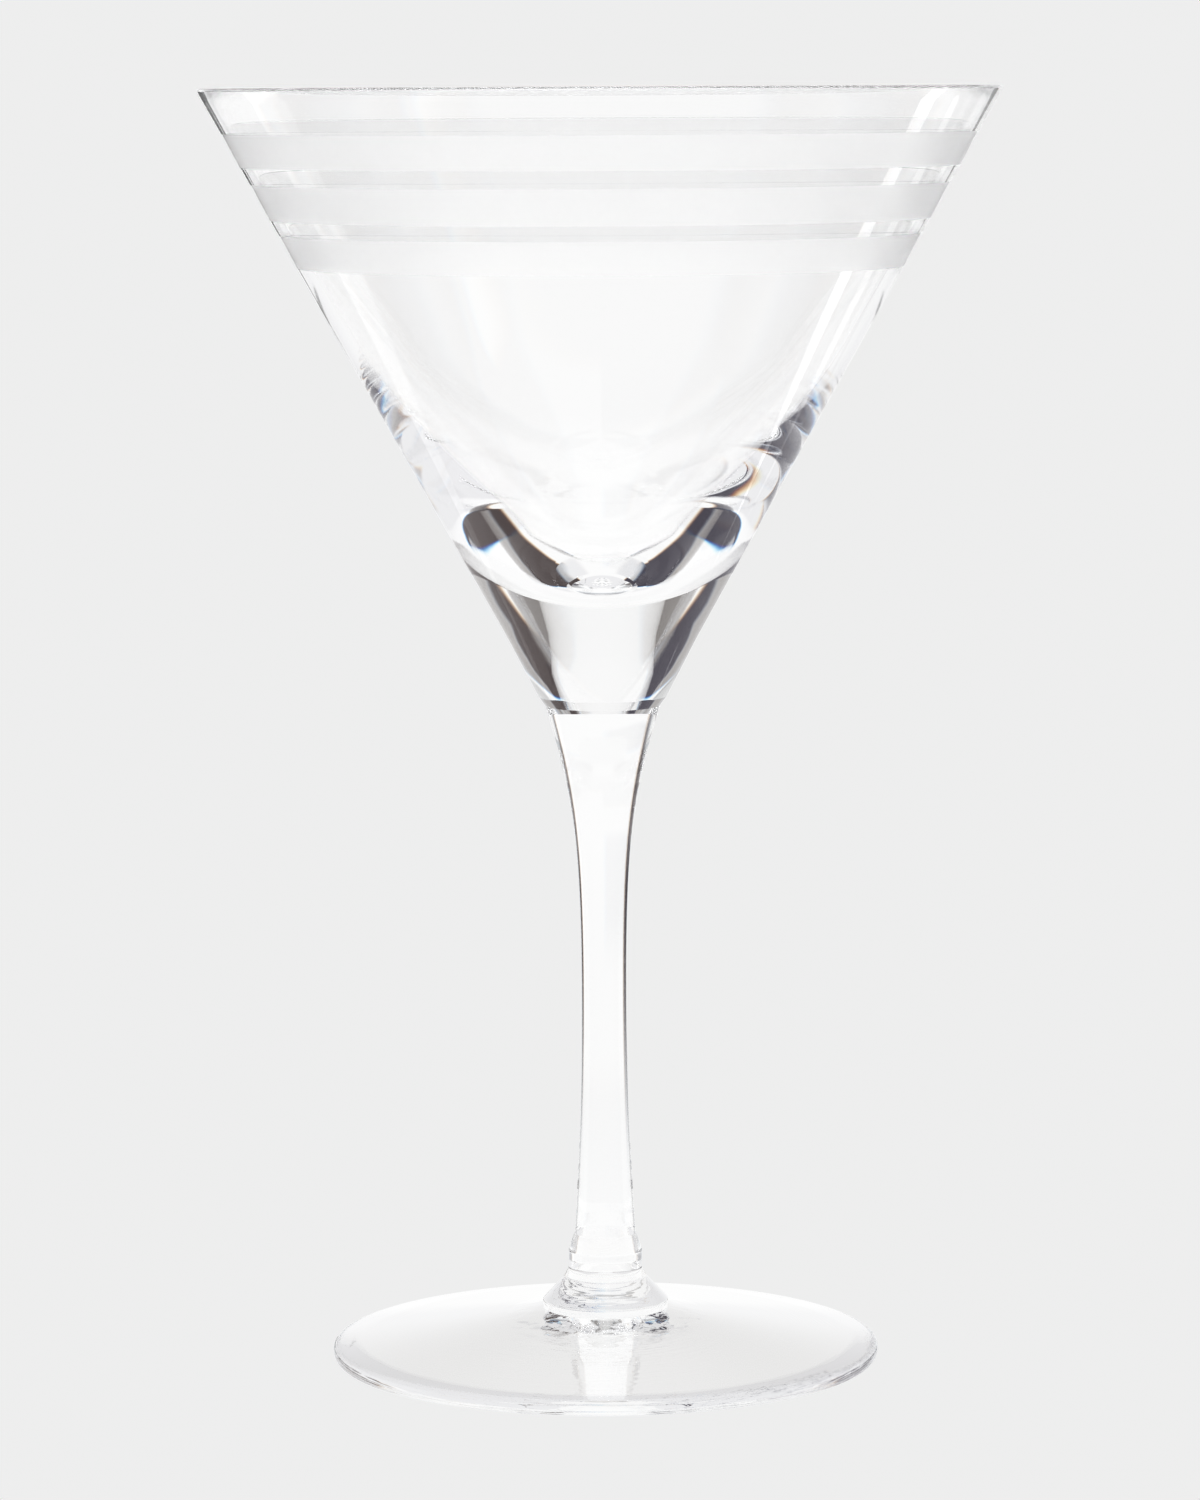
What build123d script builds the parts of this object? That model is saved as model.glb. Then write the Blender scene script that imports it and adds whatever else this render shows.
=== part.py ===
from build123d import *
import os

# Martini glass in clear glass, with three frosted bands round the upper bowl.
#
# Millimetres, +Z up. The origin is on the surface that the glass stands on, under the
# centre of the foot. Every piece is a solid of revolution about Z, so each outline below
# is drawn in the X-Z plane as (radius, height) and turned through a full circle.

# ---------------------------------------------------------------- driving dimensions
total_height = 192.0
rim_radius = 60.0
foot_radius = 41.4

# Bowl, outside: a straight cone from the rim, a slightly fuller heel under it, and a
# seam with the stem.
cone_slope = 0.5574
heel_blend_height = 110.1
heel_blend_rounding = 120.0
heel_height = 101.0
heel_radius = 9.65
heel_rounding = 1.5
bowl_seam_height = 99.6
bowl_seam_radius = 8.6

# Bowl, inside: a wall that thickens a little on its way down, a steeper-walled cone and
# a rounded floor over the heavy solid base. Angles are above the horizontal, in degrees.
rim_wall = 1.05
lip_rounding = 0.35
cavity_wall_height = 150.0
cavity_wall_radius = 34.2
cavity_shoulder_rounding = 125.0
cavity_cone_angle = 47.0
cavity_cone_rounding = 60.0
cavity_floor_angle = 37.6
cavity_floor_rounding = 15.75
cavity_floor_height = 118.2

# Frosted bands: each is a shallow wheel cut, deepest at its upper edge and running out
# to nothing at its lower edge, with an etched skin on the cut.
band_heights = {
    "frosted_band_upper": (180.3, 185.3),
    "frosted_band_middle": (172.5, 177.8),
    "frosted_band_lower": (165.4, 170.3),
}
band_cut_depth = 0.20
band_skin = 0.12
cutter_overhang = 1.0

# Stem: drawn out of the bowl's base to a narrow waist, then a little wider towards the
# foot.
stem_top_slope = 0.28
stem_top_pull = 13.0
waist_height = 56.0
waist_radius = 3.38
waist_pull = 26.0
collar_seam_height = 19.0
collar_seam_radius = 4.65

# Stem collar: a short bead, a waist ring and a flared skirt that sits on the foot.
bead_radius = 5.6
bead_top_height = 16.4
bead_low_height = 13.7
bead_rounding = 2.0
bead_low_rounding = 0.6
flare_top_radius = 6.2
flare_top_height = 12.3
flare_rounding = 0.8
skirt_radius = 9.5
skirt_top_height = 8.8
skirt_rounding = 0.5
foot_seam_height = 7.6

# Foot: a shallow cone with a rounded edge, resting on a flat ring. The hollow under it
# follows the top, so that the plate is about as thick all over.
cove_radius = 15.0
cove_height = 6.5
cove_rounding = 12.0
foot_edge_height = 2.4
foot_edge_rounding = 0.95
foot_base_rounding = 1.2
rest_ring_inner = 37.0
hollow_height = 4.6
hollow_crown_radius = 6.0


def cone_radius(height):
    """Radius of the bowl's outer cone at a height."""
    return rim_radius - cone_slope * (total_height - height)


def turned(*outline):
    """The solid that a closed outline of edges makes when it turns about Z."""
    edges = Curve() + list(outline)
    return revolve(make_face(Plane.XZ * edges), Axis.Z)


def band_ring(bottom, top, outer_inset, inner_inset):
    """A ring under the cone between two heights.

    Each inset is a pair of depths inside the cone, at the bottom and at the top.
    """
    outline = Polyline(
        (cone_radius(bottom) - outer_inset[0], bottom),
        (cone_radius(top) - outer_inset[1], top),
        (cone_radius(top) - inner_inset[1], top),
        (cone_radius(bottom) - inner_inset[0], bottom),
        close=True,
    )
    return turned(outline)


def make_bowl():
    """The bowl: outer cone and heel, rounded lip, deep cavity and heavy base."""
    floor = JernArc(
        start=(0, cavity_floor_height),
        tangent=(1, 0),
        radius=cavity_floor_rounding,
        arc_size=cavity_floor_angle,
    )
    flank = JernArc(
        start=floor @ 1,
        tangent=floor % 1,
        radius=cavity_cone_rounding,
        arc_size=cavity_cone_angle - cavity_floor_angle,
    )
    # The cavity's lower cone meets the line of its upper wall at the shoulder.
    lip_radius = rim_radius - rim_wall
    wall_slope = (lip_radius - cavity_wall_radius) / (total_height - cavity_wall_height)
    start = flank @ 1
    uphill = flank % 1
    wall_radius_at_start = lip_radius - wall_slope * (total_height - start.Y)
    run = (wall_radius_at_start - start.X) / (uphill.X - wall_slope * uphill.Y)
    shoulder = start + uphill * run
    wall = FilletPolyline(
        (0, bowl_seam_height),
        (bowl_seam_radius, bowl_seam_height),
        (heel_radius, heel_height),
        (cone_radius(heel_blend_height), heel_blend_height),
        (rim_radius, total_height),
        (lip_radius, total_height),
        shoulder,
        start,
        radius=(
            0,
            heel_rounding,
            heel_blend_rounding,
            lip_rounding,
            lip_rounding,
            cavity_shoulder_rounding,
        ),
    )
    core = Line((0, bowl_seam_height), (0, cavity_floor_height))
    bowl = turned(wall, flank, floor, core)
    for bottom, top in band_heights.values():
        bowl -= band_ring(
            bottom,
            top,
            (-cutter_overhang, -cutter_overhang),
            (band_skin, band_cut_depth + band_skin),
        )
    return bowl


def make_band(bottom, top):
    """The etched skin on one band's cut."""
    return band_ring(
        bottom,
        top,
        (0, band_cut_depth),
        (band_skin, band_cut_depth + band_skin),
    )


def make_stem():
    """The drawn stem, from the seam under the bowl to the seam with its collar."""
    top = Vector(bowl_seam_radius, bowl_seam_height)
    waist = Vector(waist_radius, waist_height)
    low = Vector(collar_seam_radius, collar_seam_height)
    upper_side = Bezier(
        top,
        top - Vector(stem_top_slope, 1) * stem_top_pull,
        waist + Vector(0, waist_pull),
        waist,
    )
    lower_side = TangentArc(waist, low, tangent=(0, -1))
    ends = Polyline(low, (0, collar_seam_height), (0, bowl_seam_height), top)
    return turned(upper_side, lower_side, ends)


def make_collar():
    """The bead and flared skirt that join the stem to the foot."""
    side = FilletPolyline(
        (collar_seam_radius, collar_seam_height),
        (bead_radius, bead_top_height),
        (bead_radius, bead_low_height),
        (flare_top_radius, flare_top_height),
        (skirt_radius, skirt_top_height),
        (skirt_radius, foot_seam_height),
        radius=(bead_rounding, bead_low_rounding, flare_rounding, skirt_rounding),
    )
    ends = Polyline(
        (skirt_radius, foot_seam_height),
        (0, foot_seam_height),
        (0, collar_seam_height),
        (collar_seam_radius, collar_seam_height),
    )
    return turned(side, ends)


def make_foot():
    """The foot: conical top, cove under the collar, rounded edge and hollow underside."""
    side = FilletPolyline(
        (0, foot_seam_height),
        (skirt_radius, foot_seam_height),
        (cove_radius, cove_height),
        (foot_radius, foot_edge_height),
        (foot_radius, 0),
        (rest_ring_inner, 0),
        radius=(0, cove_rounding, foot_edge_rounding, foot_base_rounding),
    )
    hollow = Bezier(
        (rest_ring_inner, 0),
        (hollow_crown_radius, hollow_height),
        (0, hollow_height),
    )
    core = Line((0, hollow_height), (0, foot_seam_height))
    return turned(side, hollow, core)


def main():
    pieces = {
        "bowl": make_bowl(),
        "stem": make_stem(),
        "stem_collar": make_collar(),
        "foot": make_foot(),
    }
    for name, (bottom, top) in band_heights.items():
        pieces[name] = make_band(bottom, top)
    os.makedirs("parts", exist_ok=True)
    for name, piece in pieces.items():
        export_step(piece, f"parts/{name}.step")


main()
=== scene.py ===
import math

import bmesh
import bpy
from mathutils import Matrix, Vector


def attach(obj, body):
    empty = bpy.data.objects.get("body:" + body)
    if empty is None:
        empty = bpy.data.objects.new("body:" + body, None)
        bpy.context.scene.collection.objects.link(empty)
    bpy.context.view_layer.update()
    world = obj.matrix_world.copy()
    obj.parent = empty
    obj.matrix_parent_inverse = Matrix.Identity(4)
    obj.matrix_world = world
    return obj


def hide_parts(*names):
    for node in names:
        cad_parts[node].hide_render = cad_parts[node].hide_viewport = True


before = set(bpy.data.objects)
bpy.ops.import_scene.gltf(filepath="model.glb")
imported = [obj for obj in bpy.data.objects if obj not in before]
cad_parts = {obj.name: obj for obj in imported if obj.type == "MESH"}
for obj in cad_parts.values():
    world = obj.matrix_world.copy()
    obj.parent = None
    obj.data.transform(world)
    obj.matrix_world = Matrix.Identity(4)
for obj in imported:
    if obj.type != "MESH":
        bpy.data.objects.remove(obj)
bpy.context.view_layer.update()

# A martini glass, turned piece by piece from its outlines. Outlines are lists of
# (radius, height) in millimetres; the meshes are in metres, in the frame of the CAD.

MM = 0.001
TOUCHING = 1e-4
TURNS = 240
CREASE, FOOT_CREASE = math.radians(18), math.radians(12)

# How finely an outline is divided: the longest step in millimetres, or the parts of a curve.
FINE_STEP, FOOT_STEP, CLEAR_RING_STEP, CONE_STEP, SEAM_STEP = 0.6, 1.5, 2.0, 2.5, 3.0
FILLET_PARTS, FLOOR_PARTS, FLANK_PARTS = 10, 26, 14
STEM_PARTS, LOW_STEM_PARTS, HOLLOW_PARTS = 44, 24, 40

# ------------------------------------------------------------------ dimensions, mm
total_height = 192.0
rim_radius, rim_wall, lip_rounding = 60.0, 1.05, 0.35
lip_radius = rim_radius - rim_wall
cone_slope = 0.5574
heel_blend_height, heel_blend_rounding = 110.1, 120.0
heel_height, heel_radius, heel_rounding = 101.0, 9.65, 1.5
bowl_seam_height, bowl_seam_radius = 99.6, 8.6

cavity_wall_height, cavity_wall_radius = 150.0, 34.2
cavity_shoulder_rounding = 125.0
cavity_cone_angle, cavity_cone_rounding = math.radians(47.0), 60.0
cavity_floor_angle, cavity_floor_rounding = math.radians(37.6), 15.75
cavity_floor_height = 118.2

band_heights = {
    "frosted_band_upper": (180.3, 185.3),
    "frosted_band_middle": (172.5, 177.8),
    "frosted_band_lower": (165.4, 170.3),
}
band_cut_depth, band_skin = 0.20, 0.12

stem_top_slope, stem_top_pull = 0.28, 13.0
waist_height, waist_radius, waist_pull = 56.0, 3.38, 26.0
collar_seam_height, collar_seam_radius = 19.0, 4.65

bead_radius, bead_top_height, bead_low_height = 5.6, 16.4, 13.7
bead_rounding, bead_low_rounding = 2.0, 0.6
flare_top_radius, flare_top_height, flare_rounding = 6.2, 12.3, 0.8
skirt_radius, skirt_top_height, skirt_rounding = 9.5, 8.8, 0.5
foot_seam_height = 7.6

cove_radius, cove_height, cove_rounding = 15.0, 6.5, 12.0
foot_radius, foot_edge_height, foot_edge_rounding = 41.4, 2.4, 0.95
rest_ring_inner, foot_base_rounding = 37.0, 1.2
hollow_height, hollow_crown_radius = 4.6, 6.0


# ------------------------------------------------------------------ outlines
def straight(start, end, step):
    """Points from start to end, no further apart than step."""
    count = max(1, math.ceil(math.dist(start, end) / step))
    return [
        (start[0] + (end[0] - start[0]) * i / count, start[1] + (end[1] - start[1]) * i / count)
        for i in range(count + 1)
    ]


def fillet(before, corner, after, radius):
    """Points of the arc that rounds a corner."""
    corner = Vector(corner)
    back = (Vector(before) - corner).normalized()
    ahead = (Vector(after) - corner).normalized()
    half = back.angle(ahead) / 2
    centre = corner + (back + ahead).normalized() * (radius / math.sin(half))
    arm = corner + back * (radius / math.tan(half)) - centre
    side = 1 if back.x * ahead.y - back.y * ahead.x < 0 else -1
    sweep = (math.pi - 2 * half) * side
    points = []
    for i in range(FILLET_PARTS + 1):
        turned = Matrix.Rotation(sweep * i / FILLET_PARTS, 2) @ arm
        points.append((centre.x + turned.x, centre.y + turned.y))
    return points


def rounded(corners, radii, step):
    """Points of a polyline with its inner corners rounded; a radius of 0 stays sharp."""
    points = [corners[0]]
    for i, radius in enumerate(radii, start=1):
        arc = [corners[i]]
        if radius:
            arc = fillet(corners[i - 1], corners[i], corners[i + 1], radius)
        points += straight(points[-1], arc[0], step)[1:] + arc[1:]
    return points + straight(points[-1], corners[-1], step)[1:]


def bezier(poles, count):
    """Points of a Bezier curve."""
    points = []
    for i in range(count + 1):
        level = [Vector(pole) for pole in poles]
        while len(level) > 1:
            level = [a.lerp(b, i / count) for a, b in zip(level, level[1:])]
        points.append(tuple(level[0]))
    return points


def rising_arc(start, radius, angle_from, angle_to, count):
    """Points of an arc that curves upwards from one slope to another."""
    points = []
    for i in range(count + 1):
        angle = angle_from + (angle_to - angle_from) * i / count
        points.append((
            start[0] + radius * (math.sin(angle) - math.sin(angle_from)),
            start[1] + radius * (math.cos(angle_from) - math.cos(angle)),
        ))
    return points


def cone_radius(height):
    """Radius of the bowl's outer cone at a height."""
    return rim_radius - cone_slope * (total_height - height)


# ------------------------------------------------------------------ meshes
def circle(mesh, radius, height):
    """The vertices that an outline's point makes when it turns; one, if it is on the axis."""
    if radius < TOUCHING:
        return [mesh.verts.new((0, 0, height * MM))] * TURNS
    return [
        mesh.verts.new((
            radius * MM * math.cos(math.tau * k / TURNS),
            radius * MM * math.sin(math.tau * k / TURNS),
            height * MM,
        ))
        for k in range(TURNS)
    ]


def turn(name, runs, materials, crease=CREASE):
    """A closed solid of revolution.

    Each run is (material index, points), and starts where the last one ended. The outline
    starts and ends on the axis or, for a ring, at the same point away from it.
    """
    outline = [runs[0][1][0]]
    slots = []
    for slot, points in runs:
        for point in points:
            if math.dist(point, outline[-1]) > TOUCHING:
                outline.append(point)
                slots.append(slot)
    is_ring = math.dist(outline[0], outline[-1]) < TOUCHING
    if is_ring:
        outline.pop()
    mesh = bmesh.new()
    circles = [circle(mesh, *point) for point in outline]
    if is_ring:
        circles.append(circles[0])
    for lower, upper, slot in zip(circles, circles[1:], slots):
        for k in range(TURNS):
            corners = []
            for vertex in (lower[k], lower[k - 1], upper[k - 1], upper[k]):
                if vertex not in corners:
                    corners.append(vertex)
            if len(corners) > 2:
                face = mesh.faces.new(corners)
                face.material_index = slot
                face.smooth = True
    bmesh.ops.recalc_face_normals(mesh, faces=mesh.faces)
    data = bpy.data.meshes.new(name)
    mesh.to_mesh(data)
    mesh.free()
    data.set_sharp_from_angle(angle=crease)
    for material in materials:
        data.materials.append(material)
    piece = bpy.data.objects.new(name, data)
    bpy.context.scene.collection.objects.link(piece)
    return piece


# ------------------------------------------------------------------ nodes
def connect(tree, socket, value):
    """Links an output to a socket, or sets the socket to a fixed value."""
    if isinstance(value, bpy.types.NodeSocket):
        tree.links.new(value, socket)
    else:
        socket.default_value = value


def fill(tree, node, values):
    """Connects a value to each input named by its identifier."""
    for socket in node.inputs:
        if socket.identifier in values:
            connect(tree, socket, values[socket.identifier])


def operated(tree, kind, operation, *values):
    """The outputs of a math node, scalar or vector, given its inputs in turn."""
    node = tree.nodes.new(kind)
    node.operation = operation
    for socket, value in zip(node.inputs, values):
        connect(tree, socket, value)
    return node.outputs


def noise(tree, place, scale, detail):
    """Noise from 0 to 1 at a place."""
    node = tree.nodes.new("ShaderNodeTexNoise")
    fill(tree, node, {"Vector": place, "Scale": scale, "Detail": detail})
    return node.outputs["Fac"]


def surface_noise(tree, scale, detail, stretch=(1, 1, 1)):
    """Noise over the piece, in the piece's own space."""
    place = tree.nodes.new("ShaderNodeTexCoord")
    squeeze = tree.nodes.new("ShaderNodeMapping")
    fill(tree, squeeze, {"Vector": place.outputs["Object"], "Scale": stretch})
    return noise(tree, squeeze.outputs["Vector"], scale, detail)


def mapped(tree, value, known, wanted):
    """A value from one range (from, to) put into another, and kept inside it."""
    node = tree.nodes.new("ShaderNodeMapRange")
    for socket, content in zip(node.inputs, (value, *known, *wanted)):
        connect(tree, socket, content)
    return node.outputs["Result"]


def bump(tree, source, height):
    """A bump whose peaks stand the given height, in millimetres."""
    node = tree.nodes.new("ShaderNodeBump")
    fill(tree, node, {"Height": source, "Distance": height * MM})
    return node.outputs["Normal"]


# ------------------------------------------------------------------ materials
# Noise scales are per metre. Wave, ring and grain heights are in millimetres.
GLASS_IOR = 1.52
WAVE_DETAIL = 1.0
HANDLING_SCALE, HANDLING_DETAIL, HANDLING_ROUGHNESS = 60.0, 3.0, 0.012
RING_SCALE, RING_DRIFT, RING_HEIGHT = 420.0, 90.0, 0.012
RIPPLE_SCALE, RIPPLE_TO_RING = 380.0, 5.0
RIPPLES_FROM, RIPPLES_FULL = 17.0, 12.5
FROST_TRANSMISSION = 0.7
CLOUD_SCALE, CLOUD_DETAIL, CLOUD_ROUGHNESS = 140.0, 4.0, (0.28, 0.36)
GRAIN_SCALE, GRAIN_DETAIL, GRAIN_HEIGHT = 3200.0, 2.0, 0.004
GLASS, SEAM = 0, 1


def principled(name):
    """A node material with a lone Principled shader."""
    material = bpy.data.materials.new(name)
    material.use_nodes = True
    return material, material.node_tree, material.node_tree.nodes["Principled BSDF"]


def colourless(name, transmission=1.0):
    """A Principled material of colourless glass."""
    material, tree, shader = principled(name)
    shader.inputs["Base Color"].default_value = (1.0, 1.0, 1.0, 1)
    shader.inputs["IOR"].default_value = GLASS_IOR
    shader.inputs["Transmission Weight"].default_value = transmission
    return material, tree, shader


def polished(tree, shader, relief):
    """A polished surface: a relief, and the faint unevenness that handling leaves."""
    tree.links.new(relief, shader.inputs["Normal"])
    handling = surface_noise(tree, HANDLING_SCALE, HANDLING_DETAIL)
    roughness = mapped(tree, handling, (0, 1), (0, HANDLING_ROUGHNESS))
    tree.links.new(roughness, shader.inputs["Roughness"])


def clear_glass(name, wave_scale, wave_height, stretch=(1, 1, 1)):
    """Polished glass with the faint waves that working it hot leaves."""
    material, tree, shader = colourless(name)
    waves = surface_noise(tree, wave_scale, WAVE_DETAIL, stretch)
    polished(tree, shader, bump(tree, waves, wave_height))
    return material


def pressed_glass(name):
    """Glass with the faint rings of the mould, and ripples where the collar was fused on."""
    material, tree, shader = colourless(name)
    place = tree.nodes.new("ShaderNodeTexCoord").outputs["Object"]
    flat = operated(tree, "ShaderNodeVectorMath", "MULTIPLY", place, (1, 1, 0))["Vector"]
    radius = operated(tree, "ShaderNodeVectorMath", "LENGTH", flat)["Value"]
    drift = operated(tree, "ShaderNodeVectorMath", "MULTIPLY", flat, (RING_DRIFT,) * 3)["Vector"]
    ring_place = operated(
        tree, "ShaderNodeVectorMath", "MULTIPLY_ADD", radius, (RING_SCALE,) * 3, drift
    )["Vector"]
    rings = noise(tree, ring_place, scale=1.0, detail=WAVE_DETAIL)
    near_collar = mapped(tree, radius, (RIPPLES_FROM * MM, RIPPLES_FULL * MM), (0, 1))
    waves = surface_noise(tree, RIPPLE_SCALE, WAVE_DETAIL)
    ripples = operated(tree, "ShaderNodeMath", "MULTIPLY", near_collar, waves)["Value"]
    relief = operated(
        tree, "ShaderNodeMath", "MULTIPLY_ADD", ripples, RIPPLE_TO_RING, rings
    )["Value"]
    polished(tree, shader, bump(tree, relief, RING_HEIGHT))
    return material


def frosted_glass(name):
    """Etched glass: a satin surface with a fine even grain."""
    material, tree, shader = colourless(name, FROST_TRANSMISSION)
    cloud = surface_noise(tree, CLOUD_SCALE, CLOUD_DETAIL)
    tree.links.new(mapped(tree, cloud, (0, 1), CLOUD_ROUGHNESS), shader.inputs["Roughness"])
    grain = surface_noise(tree, GRAIN_SCALE, GRAIN_DETAIL)
    tree.links.new(bump(tree, grain, GRAIN_HEIGHT), shader.inputs["Normal"])
    return material


def seam_glass(name):
    """Where two pieces are fused: nothing shows, because glass meets glass."""
    material, _, shader = principled(name)
    shader.inputs["Alpha"].default_value = 0.0
    return material


bowl_glass = clear_glass("bowl_glass", wave_scale=90.0, wave_height=0.001)
stem_glass = clear_glass(
    "stem_glass", wave_scale=120.0, wave_height=0.002, stretch=(1, 1, 0.15)
)
collar_glass = clear_glass(
    "collar_glass", wave_scale=420.0, wave_height=0.03, stretch=(0.5, 0.5, 1)
)
foot_glass = pressed_glass("foot_glass")
frost = frosted_glass("frosted_glass")
seam = seam_glass("fused_seam")


# ------------------------------------------------------------------ pieces
def make_bowl():
    """The bowl, from the cavity's floor over the lip and down to the seam with the stem."""
    floor = rising_arc(
        (0, cavity_floor_height), cavity_floor_rounding, 0, cavity_floor_angle, FLOOR_PARTS
    )
    flank = rising_arc(
        floor[-1], cavity_cone_rounding, cavity_floor_angle, cavity_cone_angle, FLANK_PARTS
    )
    # The cavity's lower cone meets the line of its upper wall at the shoulder.
    wall_slope = (lip_radius - cavity_wall_radius) / (total_height - cavity_wall_height)
    start = flank[-1]
    uphill = (math.cos(cavity_cone_angle), math.sin(cavity_cone_angle))
    gap = lip_radius - wall_slope * (total_height - start[1]) - start[0]
    run = gap / (uphill[0] - wall_slope * uphill[1])
    shoulder = (start[0] + uphill[0] * run, start[1] + uphill[1] * run)
    lip_inside = (lip_radius, total_height)
    lip_outside = (rim_radius, total_height)
    inside = rounded(
        [start, shoulder, lip_inside, lip_outside],
        [cavity_shoulder_rounding, lip_rounding],
        CONE_STEP,
    )[:-1]
    crown = fillet(lip_inside, lip_outside, (cone_radius(0), 0), lip_rounding)
    runs = [(GLASS, floor + flank + inside + crown)]
    for bottom, top in band_heights.values():
        edge = (cone_radius(top), top)
        ledge = (cone_radius(top) - band_cut_depth, top)
        runs.append((GLASS, straight(runs[-1][1][-1], edge, CLEAR_RING_STEP) + [ledge]))
        behind = [
            (ledge[0] - band_skin, top),
            (cone_radius(bottom) - band_skin, bottom),
            (cone_radius(bottom), bottom),
        ]
        runs.append((SEAM, behind))
    outside = rounded(
        [
            runs[-1][1][-1],
            (cone_radius(heel_blend_height), heel_blend_height),
            (heel_radius, heel_height),
            (bowl_seam_radius, bowl_seam_height),
        ],
        [heel_blend_rounding, heel_rounding],
        CONE_STEP,
    )
    runs.append((GLASS, outside))
    runs.append((SEAM, straight(outside[-1], (0, bowl_seam_height), SEAM_STEP)))
    return turn("bowl_body", runs, [bowl_glass, seam])


def make_band(name, bottom, top):
    """The etched skin on one band's cut."""
    low = (cone_radius(bottom), bottom)
    high = (cone_radius(top) - band_cut_depth, top)
    etched = straight(low, high, FINE_STEP)
    behind = [
        (high[0] - band_skin, top),
        (low[0] - band_skin, bottom),
        low,
    ]
    return turn(name, [(GLASS, etched), (SEAM, behind)], [frost, seam])


def make_stem():
    """The drawn stem, from the seam under the bowl to the seam with its collar."""
    top = (bowl_seam_radius, bowl_seam_height)
    waist = (waist_radius, waist_height)
    low = (collar_seam_radius, collar_seam_height)
    drawn = bezier(
        [
            top,
            (top[0] - stem_top_slope * stem_top_pull, top[1] - stem_top_pull),
            (waist[0], waist[1] + waist_pull),
            waist,
        ],
        STEM_PARTS,
    )
    drop = waist_height - collar_seam_height
    gain = collar_seam_radius - waist_radius
    sweep_radius = (drop ** 2 + gain ** 2) / (2 * gain)
    swept = []
    for i in range(LOW_STEM_PARTS + 1):
        fall = drop * i / LOW_STEM_PARTS
        swept.append((
            waist_radius + sweep_radius - math.sqrt(sweep_radius ** 2 - fall ** 2),
            waist_height - fall,
        ))
    return turn(
        "stem_body",
        [
            (SEAM, straight((0, bowl_seam_height), top, SEAM_STEP)),
            (GLASS, drawn + swept),
            (SEAM, straight(low, (0, collar_seam_height), SEAM_STEP)),
        ],
        [stem_glass, seam],
    )


def make_collar():
    """The bead and flared skirt that join the stem to the foot."""
    side = rounded(
        [
            (collar_seam_radius, collar_seam_height),
            (bead_radius, bead_top_height),
            (bead_radius, bead_low_height),
            (flare_top_radius, flare_top_height),
            (skirt_radius, skirt_top_height),
            (skirt_radius, foot_seam_height),
        ],
        [bead_rounding, bead_low_rounding, flare_rounding, skirt_rounding],
        FINE_STEP,
    )
    return turn(
        "stem_collar_body",
        [
            (SEAM, straight((0, collar_seam_height), side[0], SEAM_STEP)),
            (GLASS, side),
            (SEAM, straight(side[-1], (0, foot_seam_height), SEAM_STEP)),
        ],
        [collar_glass, seam],
    )


def make_foot():
    """The foot: conical top, cove under the collar, rounded edge and hollow underside."""
    side = rounded(
        [
            (skirt_radius, foot_seam_height),
            (cove_radius, cove_height),
            (foot_radius, foot_edge_height),
            (foot_radius, 0),
            (rest_ring_inner, 0),
        ],
        [cove_rounding, foot_edge_rounding, foot_base_rounding],
        FOOT_STEP,
    )
    hollow = bezier(
        [(rest_ring_inner, 0), (hollow_crown_radius, hollow_height), (0, hollow_height)],
        HOLLOW_PARTS,
    )
    return turn(
        "foot_body",
        [
            (SEAM, straight((0, foot_seam_height), side[0], SEAM_STEP)),
            (GLASS, side + hollow),
        ],
        [foot_glass, seam],
        FOOT_CREASE,
    )


pieces = {
    "bowl": (make_bowl(), "clear_glass"),
    "stem": (make_stem(), "clear_glass"),
    "stem_collar": (make_collar(), "clear_glass"),
    "foot": (make_foot(), "clear_glass"),
}
for band_name, (band_bottom, band_top) in band_heights.items():
    etched_ring = make_band(band_name + "_skin", band_bottom, band_top)
    pieces[band_name] = (etched_ring, "frosted_glass")
for node, (piece, slot_name) in pieces.items():
    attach(piece, "root")
    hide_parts(node)


# ------------------------------------------------------------------ studio
# The backdrop is one even pale grey to the camera. What the glass bends and mirrors is the
# rest of the room: a white sweep behind and below it, dark flags at both sides, and soft
# boxes.
CONTRAST = 0.65
PALE = 0.9025
SWEEP = (0.99, 0.99, 0.99)
WHITE = (1.02, 1.02, 1.02)
BOUNCE = (0.90, 0.90, 0.91)
ROOM = (0.60, 0.60, 0.61)
CEILING = (0.70, 0.70, 0.70)
HIGH_SIDES = (0.34, 0.32, 0.31)
GREY = (0.50, 0.48, 0.47)
WARM_DARK = (0.150, 0.122, 0.120)
COOL_DARK = (0.130, 0.120, 0.150)
COOL_GREY = (0.20, 0.22, 0.28)
SOFT_BOX = (2.2, 2.2, 2.2)
WEAK_BOX = (1.3, 1.3, 1.3)
EDGE_DARK = (0.08, 0.08, 0.08)
LINE_DARK = (0.22, 0.22, 0.22)

# Red is bent a little less than green, and blue a little more, by this share.
SPREAD = 0.007
# How often the glass mirrors light inside itself before it counts as trapped, and as lost.
# Past the second number for lost light, only the bounce is left.
MANY_MIRRORINGS = 6
LOST_MIRRORINGS = (64, 75)
MOST_BOUNCES, DIFFUSE_BOUNCES, CLEAR_BOUNCES = 128, 16, 48

FLOOR_REACH, FLOOR_CELLS, FLOOR_DROP = 4.0, 8, 0.5

# Each kind of light has its own table, laid over an even colour. A region is (azimuth from,
# to, elevation from, to, soft edge, colour), in degrees, with azimuth 0 straight behind the
# glass and positive to the right; a later region covers an earlier one.
#
# Light that only passes through the glass.
straight_regions = [
    (-180, 180, -90, -16, 4, WHITE),
    (-80, -50, -12, 22, 4, WARM_DARK),
    (58, 80, -12, 24, 4, WARM_DARK),
]
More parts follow.
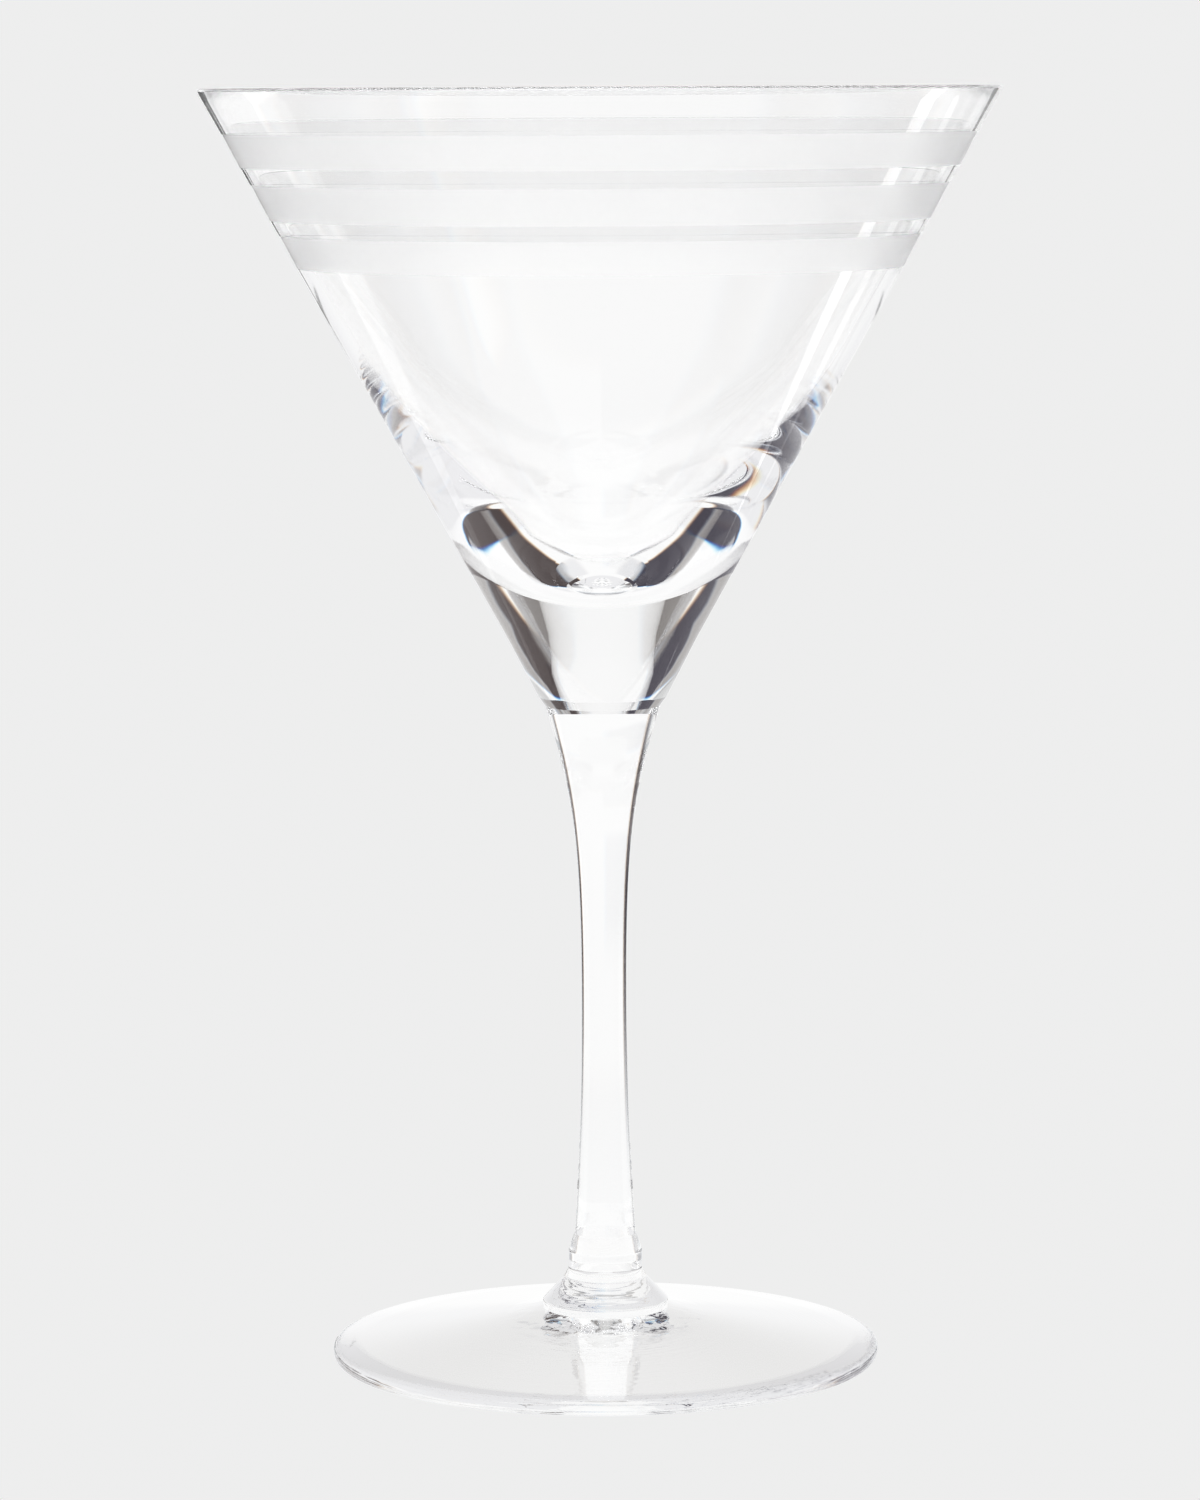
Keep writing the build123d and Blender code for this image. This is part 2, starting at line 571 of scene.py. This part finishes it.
# Light that enters the glass and is mirrored there.
bent_regions = [
    (46, 180, -90, 90, 2, ROOM),
    (-180, -46, -90, 90, 2, ROOM),
    (-180, 180, 46, 90, 5, CEILING),
    (50, 125, 42, 70, 5, HIGH_SIDES),
    (-110, -50, 42, 70, 5, HIGH_SIDES),
    (48, 101, 15, 32, 5, GREY),
    (-101, -48, 15, 32, 5, GREY),
    (46, 101, -24, 14, 2, WARM_DARK),
    (-101, -46, -28, 14, 2, COOL_DARK),
    (101, 180, -16, 50, 2, WHITE),
    (-180, -101, -16, 36, 2, WHITE),
    (-178, -144.5, -5, 19, 4, COOL_GREY),
    (30, 60, -75, -30, 5, BOUNCE),
    (-60, -30, -75, -30, 5, BOUNCE),
    (80, 180, -90, -35, 5, WHITE),
    (-180, -80, -90, -35, 5, WHITE),
]
# Light that the outside of the glass mirrors: the room, the soft boxes, and then the dark
# edges of the sweep.
mirrored_regions = [
    (-180, 180, -90, -9, 3, BOUNCE),
    (-180, 180, 4, 90, 3, BOUNCE),
    (100, 180, -14, 40, 6, ROOM),
    (-180, -100, -14, 40, 6, ROOM),
    (-180, 180, 17, 90, 11, HIGH_SIDES),
    (30, 40, -18.4, -12, 1.5, ROOM),
    (38, 50, -22, -16, 1.5, ROOM),
    (54, 60, -33, -9, 0.5, SOFT_BOX),
    (41, 45.5, -26, -21.4, 0.4, WEAK_BOX),
    (-63, -48, -33, -9, 0.5, WEAK_BOX),
    (-17, -9.5, -6.8, -3, 0.4, EDGE_DARK),
    (-22.5, -16, -8.6, -6, 0.4, EDGE_DARK),
    (17, 22.5, -9.6, -6.2, 0.4, LINE_DARK),
    (-44, -26, -10.5, -4.5, 0.6, LINE_DARK),
    (26, 44, -10.5, -4.5, 0.6, LINE_DARK),
]
# Light that the glass traps for many mirrorings, and light that it never lets out in time.
trapped_regions = [
    (-178, -143, -6, 20, 3, COOL_DARK),
    (165, 178, -5, 10, 4, GREY),
]
lost_regions = [
    (-180, -140, -90, 90, 3, EDGE_DARK),
    (140, 180, -90, 90, 3, EDGE_DARK),
]


def studio_world():
    """The even backdrop, and the room that each kind of light in the glass shows."""
    world = bpy.data.worlds.new("studio")
    bpy.context.scene.world = world
    world.use_nodes = True
    tree = world.node_tree

    def calc(operation, *values):
        return operated(tree, "ShaderNodeMath", operation, *values)["Value"]

    def times(first, second):
        return operated(tree, "ShaderNodeVectorMath", "MULTIPLY", first, second)["Vector"]

    def step(value, start, end):
        node = tree.nodes.new("ShaderNodeMapRange")
        node.data_type = "FLOAT_VECTOR"
        node.interpolation_type = "SMOOTHSTEP"
        ends = {"From_Min_FLOAT3": (start,) * 3, "From_Max_FLOAT3": (end,) * 3}
        fill(tree, node, {"Vector": value, **ends})
        return node.outputs["Vector"]

    def blend(factor, low, high):
        node = tree.nodes.new("ShaderNodeMix")
        node.data_type = "VECTOR"
        node.factor_mode = "NON_UNIFORM"
        fill(tree, node, {"Factor_Vector": factor, "A_Vector": low, "B_Vector": high})
        return next(s for s in node.outputs if s.identifier == "Result_Vector")

    def room(colour, regions, azimuth, elevation):
        for az_from, az_to, el_from, el_to, soft, region_colour in regions:
            inside = (1.0, 1.0, 1.0)
            if az_from > -180:
                inside = times(inside, step(azimuth, az_from - soft, az_from + soft))
            if az_to < 180:
                inside = times(inside, step(azimuth, az_to + soft, az_to - soft))
            if el_from > -90:
                inside = times(inside, step(elevation, el_from - soft, el_from + soft))
            if el_to < 90:
                inside = times(inside, step(elevation, el_to + soft, el_to - soft))
            colour = blend(inside, colour, region_colour)
        return colour

    where = tree.nodes.new("ShaderNodeTexCoord")
    axes = tree.nodes.new("ShaderNodeSeparateXYZ")
    tree.links.new(where.outputs["Generated"], axes.inputs[0])
    azimuth = calc("DEGREES", calc("ARCTAN2", axes.outputs[0], axes.outputs[1]))
    elevation = calc("DEGREES", calc("ARCSINE", axes.outputs[2]))
    spread = (1 - SPREAD, 1.0, 1 + SPREAD)
    bent_way = (times(azimuth, spread), times(elevation, spread))

    path = tree.nodes.new("ShaderNodeLightPath")
    mirrorings = path.outputs["Glossy Depth"]
    was_mirrored = calc("MINIMUM", mirrorings, 1.0)
    entered = calc("MINIMUM", path.outputs["Transmission Depth"], 1.0)
    passed = room(SWEEP, straight_regions, *bent_way)
    mirrored = room(SWEEP, mirrored_regions, azimuth, elevation)
    bent = room(SWEEP, bent_regions, *bent_way)
    trapped = room(BOUNCE, trapped_regions, *bent_way)
    lost = room(BOUNCE, lost_regions, azimuth, elevation)
    bent = blend(calc("GREATER_THAN", mirrorings, MANY_MIRRORINGS), bent, trapped)
    bent = blend(calc("GREATER_THAN", mirrorings, LOST_MIRRORINGS[0]), bent, lost)
    bent = blend(calc("GREATER_THAN", mirrorings, LOST_MIRRORINGS[1]), bent, BOUNCE)
    seen = blend(was_mirrored, passed, blend(entered, mirrored, bent))
    seen = blend(path.outputs["Is Camera Ray"], seen, (PALE,) * 3)
    tree.links.new(seen, tree.nodes["Background"].inputs["Color"])
    world.cycles.sampling_method = "NONE"


def studio_floor():
    """A wide pale floor just under the foot, as even as the backdrop."""
    mesh = bmesh.new()
    bmesh.ops.create_grid(
        mesh, x_segments=FLOOR_CELLS, y_segments=FLOOR_CELLS, size=FLOOR_REACH
    )
    data = bpy.data.meshes.new("studio_floor")
    mesh.to_mesh(data)
    mesh.free()
    material = bpy.data.materials.new("studio_floor")
    material.use_nodes = True
    tree = material.node_tree
    tree.nodes.remove(tree.nodes["Principled BSDF"])
    glow = tree.nodes.new("ShaderNodeEmission")
    glow.inputs["Color"].default_value = (1, 1, 1, 1)
    glow.inputs["Strength"].default_value = PALE
    tree.links.new(glow.outputs[0], tree.nodes["Material Output"].inputs["Surface"])
    data.materials.append(material)
    floor = bpy.data.objects.new("studio_floor", data)
    floor.location.z = -FLOOR_DROP * MM
    for ray in ("diffuse", "glossy", "transmission", "volume_scatter", "shadow"):
        setattr(floor, "visible_" + ray, False)
    bpy.context.scene.collection.objects.link(floor)


studio_world()
studio_floor()

scene = bpy.context.scene
scene.view_settings.view_transform = "Standard"
scene.view_settings.gamma = CONTRAST
scene.cycles.max_bounces = MOST_BOUNCES
scene.cycles.glossy_bounces = MOST_BOUNCES
scene.cycles.transmission_bounces = MOST_BOUNCES
scene.cycles.diffuse_bounces = DIFFUSE_BOUNCES
scene.cycles.transparent_max_bounces = CLEAR_BOUNCES
scene.cycles.blur_glossy = 0.0

# ------------------------------------------------------------------ camera
LENS, SENSOR_WIDTH = 134.96, 36.0
NEAREST, FURTHEST = 0.05, 50.0
CAMERA_PLACE = (-0.0004366, -0.841, 0.19206)
CAMERA_PITCH, CAMERA_ROLL = math.radians(6.7316), math.radians(-0.2826)

camera_data = bpy.data.cameras.new("camera")
camera_data.sensor_width = SENSOR_WIDTH
camera_data.lens = LENS
camera_data.clip_start = NEAREST
camera_data.clip_end = FURTHEST
camera = bpy.data.objects.new("camera", camera_data)
camera.location = CAMERA_PLACE
facing = Matrix.Rotation(math.pi / 2 - CAMERA_PITCH, 3, "X") @ Matrix.Rotation(CAMERA_ROLL, 3, "Z")
camera.rotation_euler = facing.to_euler()
scene.collection.objects.link(camera)
scene.camera = camera
